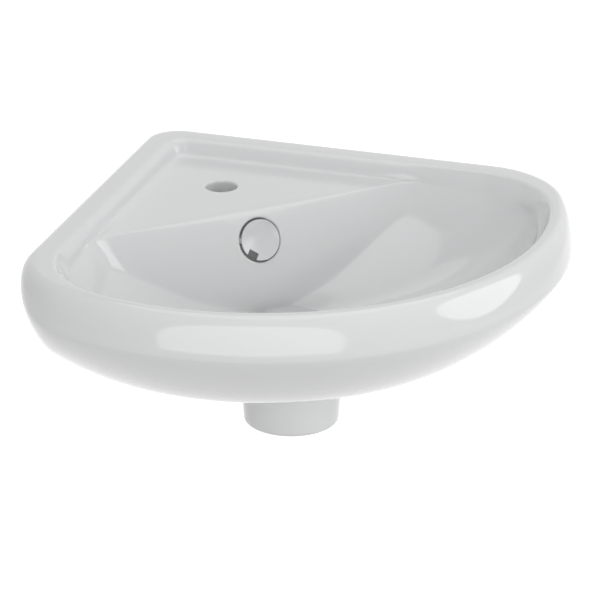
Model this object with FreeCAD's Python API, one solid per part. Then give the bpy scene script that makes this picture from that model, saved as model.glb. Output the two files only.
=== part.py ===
import FreeCAD
import Part
import math
import os

# A wall-hung corner basin in glazed ceramic, with its slotted push-button waste, overflow cover and
# wall fixings. Millimetres. The origin is the corner of the room at rim height: Z is up, the front
# faces -Y, and the two walls run from the Z axis at 45 degrees to either side, so the basin lies in
# y < -|x| and is symmetric about x = 0. "Along" is measured from the corner along a wall, "in" is
# measured away from a wall or back from the front edge.

# --- Driving dimensions: outer shape -------------------------------------------------------------
FRONT_REACH = 477.0  # corner to the front edge
SIDE_SHORT = 77.0  # how much less the tips reach along each wall
TIP_R = 89.0  # plan radius at each end of the front
CORNER_R = 25.0  # plan radius at the room corner
RIM_WALL_ROLL = 13.0  # width of the roll over the wall side of the rim
RIM_WALL_DROP = 15.0  # height of the same roll
RIM_FRONT_ROLL = 12.0  # width of the roll over the front of the rim
RIM_FRONT_DROP = 36.0  # height of the same roll
APRON_DEPTH = 104.0  # rim to the bottom of the front apron
APRON_TUCK = 76.0  # how far the apron curls under by its bottom
APRON_POWER = 1.6  # 2 is an ellipse, less is flatter
WALL_GRIND = 0.6  # stock ground off the two wall faces to make them flat

# --- Driving dimensions: inside ------------------------------------------------------------------
RIM_WIDTH_WALL = 33.0  # wall face to the foot of the rim inside
RIM_WIDTH_FRONT = 25.0  # front edge to the foot of the rim inside
MOUTH_ROLL = 9.5  # width of the rim's inner roll
MOUTH_CORNER_R = 10.0  # plan radius of the mouth at the room corner
MOUTH_TIP_R = 82.0  # and at each end of the front
LEDGE_DROP = 14.0  # rim to the tap ledge
LEDGE_EDGE_Y = -198.5  # front edge of the tap ledge on the centre line
LEDGE_EDGE_R = 2600.0  # plan radius of that edge, which bulges forwards a little
BACK_SLOPE_DEG = 69.0  # the bowl's back wall, from the horizontal
BOWL_DEPTH = 100.0  # rim to the bowl's floor
BOWL_TIP_R = 38.0  # radius of the bowl's end arcs at rim height
BOWL_TIP_IN = 29.5  # outer tip to the same arcs
BOWL_TIP_FORWARD = 10.0  # centres of the outer tips to the centres of the same arcs
BOWL_FRONT_IN = 24.5  # front edge to the bowl's front at rim height
BOWL_REAR_Y = -101.5  # the bowl's rear at rim height, behind the back wall
BOWL_FLOOR_R = 33.0  # radius that the bowl closes in on round the outlet
STEEP_LEAN = 0.09  # how far the steep walls below the rim lean in, per millimetre down
FLANK_LEAN = 0.65  # the same for the flanks under the wall sides of the rim
FLOOR_SHARE = 0.985  # where the bowl's curve is cut off by its level floor
BOWL_REAR_POWER = 1.34  # 1 makes the bowl's rear a cone, more makes it hollow
BOWL_SHARES = (0.0, 0.2, 0.4, 0.58, 0.74, 0.86, 0.94, FLOOR_SHARE)

# --- Driving dimensions: walls of the casting ----------------------------------------------------
SKIN = 9.0  # bowl and apron wall
LEDGE_THICK = 14.0  # tap ledge
RIM_SOLID = 24.0  # the rim is solid down to here
WALL_PLATE = 12.0  # plates that stand against the room's walls
PLATE_BOTTOM = 118.0  # rim to the bottom of the plates
PLATE_END = 220.0  # corner to the end of each plate
PLATE_ROUND = 12.0  # rounding of the plates' lower corners

# --- Driving dimensions: outlet, overflow and tap hole -------------------------------------------
OUTLET_Y = -266.0
BOSS_TOP_R = 45.0
BOSS_END_R = 40.5
BOSS_END = 180.0  # rim to the open end of the outlet boss
BOSS_EDGE_R = 4.0
OUTLET_R = 23.0
SEAT_R = 33.0  # recess for the waste's flange
SEAT_DEPTH = 4.0
OUTLET_LENGTH = 34.0  # ceramic between the two waste seals
BOSS_CUP_R = 34.0  # hollow of the boss that hides the backnut
TAP_HOLE_Y = -133.0
TAP_HOLE_R = 13.5
OVERFLOW_DROP = 37.5  # rim to the centre of the overflow hole
OVERFLOW_R = 19.0
CHANNEL_WIDTH = 42.0
CHANNEL_GAP = 14.0  # overflow channel behind the bowl's back wall
CHANNEL_SKIN = 8.0
DUCT_WIDTH = 26.0  # passage from the channel into the outlet
DUCT_HEIGHT = 13.0
DUCT_DROP = 14.0  # waste seat to the top of the duct

# --- Driving dimensions: waste fitting -----------------------------------------------------------
TAIL_R = 20.95  # thread of a 1 1/4 inch waste
TAIL_WALL = 2.6
TAIL_PROUD = 2.0  # tail below the end of the boss
RELIEF_GAP = 1.0  # backnut to the relief groove round the tail
RELIEF_WIDTH = 1.5
RELIEF_DEPTH = 0.6
FLANGE_R = 32.0
FLANGE_THICK = 2.5
FUNNEL_R = 26.5  # top of the cone that the plug closes
FUNNEL_DEPTH = 4.5
NECK_LENGTH = 6.0  # thicker neck below the flange
TOP_SEAL_R = 31.5
TOP_SEAL_BORE = 24.0
TOP_SEAL_THICK = 2.0
SLOT_WIDTH = 9.0
SLOT_HEIGHT = 14.0
SLOT_COUNT = 4
HUB_R = 10.5
WEB_THICK = 7.0
WEB_COUNT = 3
WEB_WIDTH = 3.2
WEB_DROP = 44.0  # flange top to the top of the web
LOWER_SEAL_R = 32.0
LOWER_SEAL_THICK = 4.0
SLIP_WASHER_THICK = 1.5
BACKNUT_FLATS = 54.0
BACKNUT_THICK = 10.0
HOUSING_R = 7.0
HOUSING_WALL = 1.8
HOUSING_ABOVE = 30.0  # cartridge housing above the web
HOUSING_BELOW = 27.0  # and below the web's top
SHOULDER_R = 9.2
SHOULDER_THICK = 2.0
GLAND_THICK = 3.0
SPINDLE_R = 3.2
SPINDLE_IN_CAP = 4.0
CAP_R = 29.0
CAP_EDGE = 2.6
CAP_DOME = 4.2
PLUG_TRAVEL = 8.5
PLUG_SEAL_BORE = 15.0
PLUG_SEAL_THICK = 3.2
PLUG_SEAL_GAP = 1.2  # radial gap in the funnel when the plug is down
LATCH_LENGTH = 14.0
SPRING_WIRE = 1.1
SPRING_TURNS = 9

# --- Driving dimensions: overflow cover and wall fixings -----------------------------------------
COVER_GAP = 1.5  # slot all round the cover, where the water enters
COVER_PROUD = 1.5
COVER_THICK = 1.6
COVER_DISH = 3.0
COVER_LEGS = 3
COVER_LEG_WIDTH = 5.0
COVER_LEG_THICK = 2.5
COVER_LEG_LENGTH = 10.0
COVER_FOOT = 7.0  # length of the thicker foot of each leg
NOTCH_WIDTH = 9.5
NOTCH_DEPTH = 6.5
NOTCH_TURN_DEG = 232.0
FIXING_ALONG = 150.0
FIXING_DROP = 95.0
FIXING_HOLE_R = 7.0
STUD_R = 5.0
STUD_IN_WALL = 45.0
STUD_IN_BASIN = 36.0
WALL_PLUG_R = 7.0
WALL_PLUG_LENGTH = 50.0
BUSH_FLANGE_R = 12.0
BUSH_FLANGE = 3.0
BUSH_LENGTH = 10.0
WASHER_R = 11.0
WASHER_THICK = 2.0
NUT_FLATS = 17.0
NUT_THICK = 8.0

# --- Clearances ----------------------------------------------------------------------------------
FIT = 0.08  # radial, between a thread or shaft and its hole
LOOSE = 0.3  # between pieces that only pass each other

# --- Derived values ------------------------------------------------------------------------------
HALF = math.sqrt(0.5)
SIDE = FRONT_REACH - SIDE_SHORT
TIP_ALONG = SIDE - TIP_R
TIP_X = (TIP_ALONG - TIP_R) * HALF
TIP_Y = -(TIP_ALONG + TIP_R) * HALF
BOWL_TIP_X = TIP_X + TIP_R - BOWL_TIP_IN - BOWL_TIP_R
BOWL_TIP_Y = TIP_Y - BOWL_TIP_FORWARD
BOWL_FRONT_Y = BOWL_FRONT_IN - FRONT_REACH
SEAT_Z = -BOWL_DEPTH - SEAT_DEPTH
UNDER_Z = SEAT_Z - OUTLET_LENGTH
FLANGE_BOTTOM = SEAT_Z + TOP_SEAL_THICK
FLANGE_TOP = FLANGE_BOTTOM + FLANGE_THICK
TAIL_END = -BOSS_END - TAIL_PROUD
TAIL_BORE = TAIL_R - TAIL_WALL
WEB_TOP = FLANGE_TOP - WEB_DROP
LOWER_SEAL_Z = UNDER_Z - LOWER_SEAL_THICK
SLIP_WASHER_Z = LOWER_SEAL_Z - SLIP_WASHER_THICK
BACKNUT_Z = SLIP_WASHER_Z - BACKNUT_THICK
RELIEF_Z = BACKNUT_Z - RELIEF_GAP
HOUSING_TOP = WEB_TOP + HOUSING_ABOVE
HOUSING_BOTTOM = WEB_TOP - HOUSING_BELOW
HOUSING_FLOOR = HOUSING_BOTTOM + HOUSING_WALL
HOUSING_BORE = HOUSING_R - HOUSING_WALL
GLAND_BOTTOM = HOUSING_TOP - GLAND_THICK
LATCH_TOP = GLAND_BOTTOM - LOOSE
LATCH_BOTTOM = LATCH_TOP - LATCH_LENGTH
CAP_BOTTOM = FLANGE_TOP + PLUG_TRAVEL + LOOSE
CHANNEL_END = DUCT_HEIGHT + DUCT_DROP - SEAT_Z
BACK_LEAN = 1.0 / math.tan(math.radians(BACK_SLOPE_DEG))
OVERFLOW_Y = LEDGE_EDGE_Y - (OVERFLOW_DROP - LEDGE_DROP) * BACK_LEAN
COVER_R = OVERFLOW_R - COVER_GAP
BUSH_FACE = -WALL_PLATE - BUSH_FLANGE
WASHER_FACE = BUSH_FACE - WASHER_THICK
FAR = 900.0  # size of the blocks that cut everything on one side of a plane


def tangent_radius(tip_x, tip_y, tip_r, end_y):
    """Radius of the arc centred on x = 0 that passes (0, end_y) and holds the tip circle inside."""
    gap = abs(tip_y - end_y)
    return (tip_x**2 + gap**2 - tip_r**2) / (2.0 * (gap - tip_r))


FRONT_R = tangent_radius(TIP_X, TIP_Y, TIP_R, -FRONT_REACH)


def vec(x, y, z=0.0):
    return FreeCAD.Vector(x, y, z)


def arc(start, middle, end):
    return Part.Arc(start, middle, end).toShape()


def polar(centre, radius, direction):
    """The point at this distance from the centre, in the direction of a second vector."""
    return centre + FreeCAD.Vector(direction).normalize() * radius


def flip(point):
    return vec(-point.x, point.y, point.z)


# --- Plan outlines -------------------------------------------------------------------------------
def corner_outline(z, wall_in, front_in, tip_r, corner_r):
    """Closed outline at height z: corner arc, two wall lines, two tip arcs and the front arc."""
    front_c = vec(0, FRONT_R - FRONT_REACH, z)
    front_r = FRONT_R - front_in
    inset = wall_in + tip_r
    level = -front_c.y * HALF
    along = level + math.sqrt((front_r - tip_r) ** 2 - (level - inset) ** 2)
    tip_c = vec((along - inset) * HALF, -(along + inset) * HALF, z)
    wall_dir = vec(HALF, HALF)
    front_dir = tip_c - front_c
    corner_c = vec(0, -(wall_in + corner_r) / HALF, z)
    corner_end = polar(corner_c, corner_r, wall_dir)
    wall_end = polar(tip_c, tip_r, wall_dir)
    tip_end = polar(tip_c, tip_r, front_dir)
    tip_mid = polar(tip_c, tip_r, wall_dir + FreeCAD.Vector(front_dir).normalize())
    top = polar(corner_c, corner_r, vec(0, 1))
    bottom = polar(front_c, front_r, vec(0, -1))
    return Part.Wire([
        arc(corner_end, top, flip(corner_end)),
        Part.LineSegment(flip(corner_end), flip(wall_end)).toShape(),
        arc(flip(wall_end), flip(tip_mid), flip(tip_end)),
        arc(flip(tip_end), bottom, tip_end),
        arc(tip_end, tip_mid, wall_end),
        Part.LineSegment(wall_end, corner_end).toShape(),
    ])


def bowl_outline(z, front_y, rear_y, tip_x, tip_y, tip_r):
    """Closed outline at height z: front and rear arcs centred on x = 0, joined by two end arcs."""
    tip_c = vec(tip_x, tip_y, z)
    front_r = tangent_radius(tip_x, tip_y, tip_r, front_y)
    rear_r = tangent_radius(tip_x, tip_y, tip_r, rear_y)
    front_c = vec(0, front_y + front_r, z)
    rear_c = vec(0, rear_y - rear_r, z)
    front_end = polar(tip_c, tip_r, tip_c - front_c)
    rear_end = polar(tip_c, tip_r, tip_c - rear_c)
    outer = polar(tip_c, tip_r, vec(1, 0))
    return Part.Wire([
        arc(rear_end, vec(0, rear_y, z), flip(rear_end)),
        arc(flip(rear_end), flip(outer), flip(front_end)),
        arc(flip(front_end), vec(0, front_y, z), front_end),
        arc(front_end, outer, rear_end),
    ])


def loft(wires):
    """Smooth solid through closed wires, with its faces turned outwards."""
    solid = Part.makeLoft(wires, True, False)
    if solid.Volume < 0:
        solid.reverse()
    return solid


# --- Outer body of the basin ---------------------------------------------------------------------
def roll(depth, width, drop):
    """How far a quarter-ellipse roll stands back from its side at this depth below the rim."""
    if depth >= drop:
        return 0.0
    return width * (1.0 - math.sqrt(1.0 - ((drop - depth) / drop) ** 2))


def apron_in(depth):
    """How far the front stands back from its widest line at this depth below the rim."""
    if depth < RIM_FRONT_DROP:
        return roll(depth, RIM_FRONT_ROLL, RIM_FRONT_DROP)
    share = min(1.0, (depth - RIM_FRONT_DROP) / (APRON_DEPTH - RIM_FRONT_DROP))
    turn = math.asin(share ** (1.0 / APRON_POWER))
    return APRON_TUCK * (1.0 - math.cos(turn) ** APRON_POWER)


def outer_section(depth):
    ground = WALL_GRIND * min(1.0, depth / RIM_WALL_DROP)
    wall_in = roll(depth, RIM_WALL_ROLL, RIM_WALL_DROP) - ground
    front_in = apron_in(depth)
    return corner_outline(-depth, wall_in, front_in, TIP_R - (wall_in + front_in) / 2.0, CORNER_R)


def hollow_section(depth):
    front_in = apron_in(depth) + SKIN
    tip_r = TIP_R - (WALL_PLATE + front_in) / 2.0
    return corner_outline(-depth, WALL_PLATE, front_in, tip_r, CORNER_R / 2.0)


def behind_wall(side):
    """Block that fills everything behind one wall face."""
    block = Part.makeBox(2 * FAR, FAR, 2 * FAR, vec(-FAR, 0, -FAR))
    block.rotate(vec(0, 0), vec(0, 0, 1), -45.0 * side)
    return block


def outer_shell():
    """Rolled rim, apron and wall faces, open below."""
    rim_drop = [RIM_FRONT_DROP * step for step in (0, 0.05, 0.14, 0.27, 0.5, 0.75, 1)]
    height = APRON_DEPTH - RIM_FRONT_DROP
    apron_drop = [RIM_FRONT_DROP + height * step for step in (0.2, 0.42, 0.63, 0.82, 0.95, 1)]
    body = loft([outer_section(depth) for depth in rim_drop + apron_drop])
    body = body.cut(behind_wall(1)).cut(behind_wall(-1))
    below = [depth for depth in [RIM_SOLID] + apron_drop if depth >= RIM_SOLID]
    hollow = loft([hollow_section(depth) for depth in below])
    mouth = hollow_section(APRON_DEPTH)
    open_end = Part.Face(mouth).extrude(vec(0, 0, -SKIN))
    return body.cut(hollow).cut(open_end)


def against_wall(shape, side):
    """Turn a shape drawn with X along the wall and Y into it onto the right (1) or left (-1) wall."""
    turned = shape.copy()
    turned.rotate(vec(0, 0), vec(0, 0, 1), -45.0)
    return turned if side > 0 else turned.mirror(vec(0, 0), vec(1, 0, 0))


def wall_plates():
    """The two plates against the walls, which carry the fixing holes, joined at the corner."""
    plate = Part.makeBox(PLATE_END, WALL_PLATE, PLATE_BOTTOM - RIM_SOLID, vec(0, -WALL_PLATE, -PLATE_BOTTOM))
    lower = [edge for edge in plate.Edges
             if all(v.X > PLATE_END - 1 and v.Z < 1 - PLATE_BOTTOM for v in edge.Vertexes)]
    plate = plate.makeFillet(PLATE_ROUND, lower)
    pair = against_wall(plate, 1).fuse(against_wall(plate, -1))
    plan = corner_outline(-RIM_SOLID, 0, 0, TIP_R, CORNER_R)
    return pair.common(Part.Face(plan).extrude(vec(0, 0, RIM_SOLID - PLATE_BOTTOM)))


# --- Inside of the basin -------------------------------------------------------------------------
def mouth():
    """Recess inside the rolled rim, down to the tap ledge."""
    def section(depth):
        rolled = roll(depth, MOUTH_ROLL, LEDGE_DROP)
        return corner_outline(-depth, RIM_WIDTH_WALL - rolled, RIM_WIDTH_FRONT - rolled,
                              MOUTH_TIP_R + rolled, MOUTH_CORNER_R + rolled)
    return loft([section(LEDGE_DROP * step) for step in (0, 0.03, 0.1, 0.22, 0.42, 0.7, 1)])


def steep_outline(depth, grow):
    """The steep wall inside the rim, below the ledge, moved out by a wall."""
    lean = STEEP_LEAN * (depth - LEDGE_DROP)
    return corner_outline(-depth, RIM_WIDTH_WALL + lean - grow, RIM_WIDTH_FRONT + lean - grow,
                          MOUTH_TIP_R - lean + grow, MOUTH_CORNER_R + grow)


def ledge_slab():
    """What makes the tap ledge thicker than the solid part of the rim."""
    plan = steep_outline(RIM_SOLID, SKIN)
    return Part.Face(plan).extrude(vec(0, 0, RIM_SOLID - LEDGE_DROP - LEDGE_THICK))


def bowl_outline_at(share, grow):
    """The bowl's outline at this share of its depth, closing in on the outlet."""
    round_off = math.sqrt(1.0 - share**2)
    rear_off = (1.0 - share) ** BOWL_REAR_POWER
    radius = BOWL_FLOOR_R + grow
    front_y = OUTLET_Y - radius + (BOWL_FRONT_Y - OUTLET_Y + BOWL_FLOOR_R) * round_off
    rear_y = OUTLET_Y + radius + (BOWL_REAR_Y - OUTLET_Y - BOWL_FLOOR_R) * rear_off
    tip_y = OUTLET_Y + (BOWL_TIP_Y - OUTLET_Y) * round_off
    tip_r = radius + (BOWL_TIP_R - BOWL_FLOOR_R) * round_off
    z = -(BOWL_DEPTH + grow) * share / FLOOR_SHARE
    return bowl_outline(z, front_y, rear_y, BOWL_TIP_X * round_off, tip_y, tip_r)


def behind_back_wall(grow):
    """Block that fills everything behind the bowl's sloping back wall, moved back by a wall."""
    edge_y = LEDGE_EDGE_Y + LEDGE_DROP * BACK_LEAN + grow / math.sin(math.radians(BACK_SLOPE_DEG))
    end_y = edge_y + LEDGE_EDGE_R - math.sqrt(LEDGE_EDGE_R**2 - SIDE**2)
    left, right = vec(-SIDE, end_y), vec(SIDE, end_y)
    plan = Part.Wire([
        arc(left, vec(0, edge_y), right),
        Part.LineSegment(right, vec(SIDE, FAR)).toShape(),
        Part.LineSegment(vec(SIDE, FAR), vec(-SIDE, FAR)).toShape(),
        Part.LineSegment(vec(-SIDE, FAR), left).toShape(),
    ])
    depth = BOSS_END + SKIN
    return Part.Face(plan).extrude(vec(0, -depth * BACK_LEAN, -depth))


def behind_flank(grow, side):
    """Block that fills everything behind the flank under one wall side, moved back by a wall."""
    top_y = FLANK_LEAN * LEDGE_DROP - RIM_WIDTH_WALL + grow * math.hypot(1.0, FLANK_LEAN)
    depth = BOSS_END + SKIN
    low_y = top_y - FLANK_LEAN * depth
    corners = [vec(-FAR, top_y), vec(-FAR, low_y, -depth), vec(-FAR, FAR, -depth), vec(-FAR, FAR)]
    section = Part.Face(Part.makePolygon(corners + corners[:1]))
    return against_wall(section.extrude(vec(2 * FAR, 0)), side)


def bowl(grow):
    """The deep part of the bowl, in front of its back wall and inside the walls under the rim."""
    deep = loft([bowl_outline_at(share, grow) for share in BOWL_SHARES])
    steep = loft([steep_outline(depth, grow) for depth in (LEDGE_DROP, BOSS_END)])
    blocks = [behind_back_wall(grow), behind_flank(grow, 1), behind_flank(grow, -1)]
    return deep.common(steep).cut(blocks)


# --- Outlet, overflow channel, tap hole and fixing holes -----------------------------------------
def cylinder(radius, low, high, x=0.0, y=OUTLET_Y):
    return Part.makeCylinder(radius, high - low, vec(x, y, low))


def ring(outer, inner, low, high):
    return cylinder(outer, low, high).cut(cylinder(inner, low, high))


def boss():
    """Round boss under the bowl, open below, that hides the waste's nut."""
    cone = Part.makeCone(BOSS_END_R, BOSS_TOP_R, BOSS_END - BOWL_DEPTH, vec(0, OUTLET_Y, -BOSS_END))
    lower = [edge for edge in cone.Edges if edge.Closed and edge.BoundBox.ZMax < 1 - BOSS_END]
    return cone.makeFillet(BOSS_EDGE_R, lower)


def outlet_bores():
    """Seat for the waste's flange, the outlet hole and the open hollow of the boss."""
    seat = cylinder(SEAT_R, SEAT_Z, -BOWL_DEPTH + SEAT_DEPTH)
    hole = cylinder(OUTLET_R, UNDER_Z, SEAT_Z)
    cup = cylinder(BOSS_CUP_R, -BOSS_END, UNDER_Z)
    return [seat, hole, cup]


def slab_behind(front, back, width, top, bottom):
    """Part of the space between two distances behind the bowl's back wall."""
    box = Part.makeBox(width, FAR, bottom - top, vec(-width / 2.0, OUTLET_Y - SEAT_R, -bottom))
    return box.common(behind_back_wall(front)).cut(behind_back_wall(back))


def channel_block():
    back = SKIN + CHANNEL_GAP + CHANNEL_SKIN
    return slab_behind(0, back, CHANNEL_WIDTH + 2 * CHANNEL_SKIN, LEDGE_DROP, CHANNEL_END + CHANNEL_SKIN)


def channel_void():
    """The overflow channel, and the duct that leads it into the outlet."""
    top = LEDGE_DROP + CHANNEL_SKIN
    void = slab_behind(SKIN, SKIN + CHANNEL_GAP, CHANNEL_WIDTH, top, CHANNEL_END)
    reach = void.BoundBox.YMin - OUTLET_Y + CHANNEL_GAP / 2.0
    duct = Part.makeBox(DUCT_WIDTH, reach, DUCT_HEIGHT, vec(-DUCT_WIDTH / 2.0, OUTLET_Y, -CHANNEL_END))
    return [void, duct]


def onto_back_wall(shape):
    """Place a shape drawn round the overflow's axis, with Z out of the wall and Y up along it."""
    placed = shape.copy()
    placed.rotate(vec(0, 0), vec(1, 0, 0), BACK_SLOPE_DEG)
    placed.translate(vec(0, OVERFLOW_Y, -OVERFLOW_DROP))
    return placed


def overflow_hole():
    through = SKIN + CHANNEL_GAP / 2.0
    return onto_back_wall(Part.makeCylinder(OVERFLOW_R, through + SKIN, vec(0, 0, -through)))


def tap_hole():
    return cylinder(TAP_HOLE_R, -LEDGE_DROP - 2 * LEDGE_THICK, 0, 0, TAP_HOLE_Y)


def fixing_cylinder(radius, outer, inner, side):
    """Cylinder on a fixing's axis, between two distances from the wall face, into the wall positive."""
    axis = Part.makeCylinder(radius, outer - inner, vec(FIXING_ALONG, inner, -FIXING_DROP), vec(0, 1, 0))
    return against_wall(axis, side)


def basin_body():
    body = outer_shell().fuse([wall_plates(), ledge_slab(), bowl(SKIN), boss(), channel_block()])
    body = body.cut([mouth(), bowl(0)])
    body = body.cut(outlet_bores() + channel_void() + [overflow_hole(), tap_hole()])
    holes = [fixing_cylinder(FIXING_HOLE_R, SKIN, -WALL_PLATE - SKIN, side) for side in (1, -1)]
    return body.cut(holes)


# --- Waste fitting -------------------------------------------------------------------------------
def hexagon(flats, low, high):
    """Hexagonal bar on the outlet's axis, measured across its flats."""
    radius = flats / math.sqrt(3.0)
    turns = [math.radians(60.0 * step) for step in range(7)]
    points = [vec(radius * math.cos(turn), OUTLET_Y + radius * math.sin(turn), low) for turn in turns]
    return Part.Face(Part.makePolygon(points)).extrude(vec(0, 0, high - low))


def about_outlet(shape, count):
    """Copies of a shape, spread evenly round the outlet's axis."""
    copies = []
    for step in range(count):
        turned = shape.copy()
        turned.rotate(vec(0, OUTLET_Y), vec(0, 0, 1), 360.0 * step / count)
        copies.append(turned)
    return copies


def funnel_radius(z):
    return FUNNEL_R + (FUNNEL_R - TAIL_BORE) * (z - FLANGE_TOP) / FUNNEL_DEPTH


def waste_body():
    """Flange, neck and slotted tail, with the web that holds the plug's cartridge."""
    flange = cylinder(FLANGE_R, FLANGE_BOTTOM, FLANGE_TOP)
    neck = cylinder(OUTLET_R - FIT, FLANGE_BOTTOM - NECK_LENGTH, FLANGE_BOTTOM)
    tail = cylinder(TAIL_R, TAIL_END, FLANGE_BOTTOM)
    funnel = Part.makeCone(TAIL_BORE, FUNNEL_R, FUNNEL_DEPTH, vec(0, OUTLET_Y, FLANGE_TOP - FUNNEL_DEPTH))
    slot_z = -CHANNEL_END + (DUCT_HEIGHT - SLOT_HEIGHT) / 2.0
    slot = Part.makeBox(SLOT_WIDTH, TAIL_R, SLOT_HEIGHT, vec(-SLOT_WIDTH / 2.0, OUTLET_Y + HUB_R, slot_z))
    shell = flange.fuse([neck, tail]).cut([cylinder(TAIL_BORE, TAIL_END, FLANGE_TOP), funnel])
    relief = ring(TAIL_R + FIT, TAIL_R - RELIEF_DEPTH, RELIEF_Z - RELIEF_WIDTH, RELIEF_Z)
    shell = shell.cut(about_outlet(slot, SLOT_COUNT) + [relief])
    web_low = WEB_TOP - WEB_THICK
    spoke_start = vec(-WEB_WIDTH / 2.0, OUTLET_Y, web_low)
    spoke = Part.makeBox(WEB_WIDTH, TAIL_BORE + TAIL_WALL / 2.0, WEB_THICK, spoke_start)
    web = cylinder(HUB_R, web_low, WEB_TOP).fuse(about_outlet(spoke, WEB_COUNT))
    return shell.fuse(web.cut(cylinder(HOUSING_R + FIT, web_low, WEB_TOP)))


def waste_top_seal():
    return ring(TOP_SEAL_R, TOP_SEAL_BORE, SEAT_Z, FLANGE_BOTTOM)


def waste_lower_seal():
    return ring(LOWER_SEAL_R, TAIL_R + FIT, LOWER_SEAL_Z, UNDER_Z)


def waste_slip_washer():
    return ring(LOWER_SEAL_R, TAIL_R + FIT, SLIP_WASHER_Z, LOWER_SEAL_Z)


def waste_backnut():
    bore = cylinder(TAIL_R + FIT, BACKNUT_Z, SLIP_WASHER_Z)
    return hexagon(BACKNUT_FLATS, BACKNUT_Z, SLIP_WASHER_Z).cut(bore)


def cartridge_housing():
    """Closed sleeve that stands in the web on its shoulder and holds the plug's spring."""
    shoulder = cylinder(SHOULDER_R, WEB_TOP, WEB_TOP + SHOULDER_THICK)
    sleeve = cylinder(HOUSING_R, HOUSING_BOTTOM, HOUSING_TOP).fuse(shoulder)
    return sleeve.cut(cylinder(HOUSING_BORE, HOUSING_FLOOR, HOUSING_TOP))


def cartridge_gland():
    return ring(HOUSING_BORE - FIT, SPINDLE_R + FIT, GLAND_BOTTOM, HOUSING_TOP)


# --- Plug, drawn raised --------------------------------------------------------------------------
def plug_cap():
    """Domed cap with the spigot that carries the seal and the spindle."""
    sphere_r = (CAP_R**2 + CAP_DOME**2) / (2.0 * CAP_DOME)
    top = CAP_BOTTOM + CAP_EDGE + CAP_DOME
    sphere = Part.makeSphere(sphere_r, vec(0, OUTLET_Y, top - sphere_r))
    dome = cylinder(CAP_R, CAP_BOTTOM, top).common(sphere)
    spigot_low = CAP_BOTTOM - PLUG_SEAL_THICK
    spigot = cylinder(PLUG_SEAL_BORE - FIT, spigot_low, CAP_BOTTOM)
    return dome.fuse(spigot).cut(cylinder(SPINDLE_R + FIT, spigot_low, CAP_BOTTOM + SPINDLE_IN_CAP))


def plug_seal():
    """Rubber ring under the cap, tapered like the funnel that it closes."""
    low = CAP_BOTTOM - PLUG_SEAL_THICK
    top_r = funnel_radius(CAP_BOTTOM - PLUG_TRAVEL) - PLUG_SEAL_GAP
    low_r = funnel_radius(low - PLUG_TRAVEL) - PLUG_SEAL_GAP
    cone = Part.makeCone(low_r, top_r, PLUG_SEAL_THICK, vec(0, OUTLET_Y, low))
    return cone.cut(cylinder(PLUG_SEAL_BORE, low, CAP_BOTTOM))


def plug_spindle():
    return cylinder(SPINDLE_R, LATCH_BOTTOM, CAP_BOTTOM + SPINDLE_IN_CAP)


def plug_latch():
    """Sleeve at the spindle's foot that runs in the housing and stops under the gland."""
    return ring(HOUSING_BORE - FIT, SPINDLE_R + FIT, LATCH_BOTTOM, LATCH_TOP)


def middle_of_arc(start, start_dir, end):
    """Middle of the arc that leaves its start in this direction."""
    chord = end - start
    across = start_dir - chord * (start_dir.dot(chord) / chord.dot(chord))
    bulge = chord.Length / 2.0 * math.tan(chord.getAngle(start_dir) / 2.0)
    return (start + end) * 0.5 + across.normalize() * bulge


def two_arcs(start, start_dir, end, end_dir):
    """Two arcs, tangent to each other, between two points with given directions."""
    chord = end - start
    reach = chord.dot(start_dir + end_dir)
    spread = 2.0 * (1.0 - start_dir.dot(end_dir))
    length = (math.sqrt(reach**2 + spread * chord.dot(chord)) - reach) / spread
    joint = (start + end + (start_dir - end_dir) * length) * 0.5
    first = arc(start, middle_of_arc(start, start_dir, joint), joint)
    return [first, arc(joint, middle_of_arc(end, -end_dir, joint), end)]


def plug_spring():
    """Coil spring between the housing's floor and the latch, swept along two arcs per quarter turn."""
    wire_r = SPRING_WIRE / 2.0
    coil_r = HOUSING_BORE - LOOSE - wire_r
    low = HOUSING_FLOOR + wire_r + FIT
    quarters = 4 * SPRING_TURNS
    rise = (LATCH_BOTTOM - wire_r - FIT - low) / quarters
    climb = rise * 2.0 / math.pi
    points, directions = [], []
    for step in range(quarters + 1):
        turn = math.pi / 2.0 * step
        side = vec(math.cos(turn), math.sin(turn))
        points.append(vec(0, OUTLET_Y, low + rise * step) + side * coil_r)
        directions.append(vec(-side.y * coil_r, side.x * coil_r, climb).normalize())
    path = []
    for step in range(quarters):
        path += two_arcs(points[step], directions[step], points[step + 1], directions[step + 1])
    section = Part.Wire([Part.makeCircle(wire_r, points[0], directions[0])])
    return Part.Wire(path).makePipeShell([section], True, False)


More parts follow.
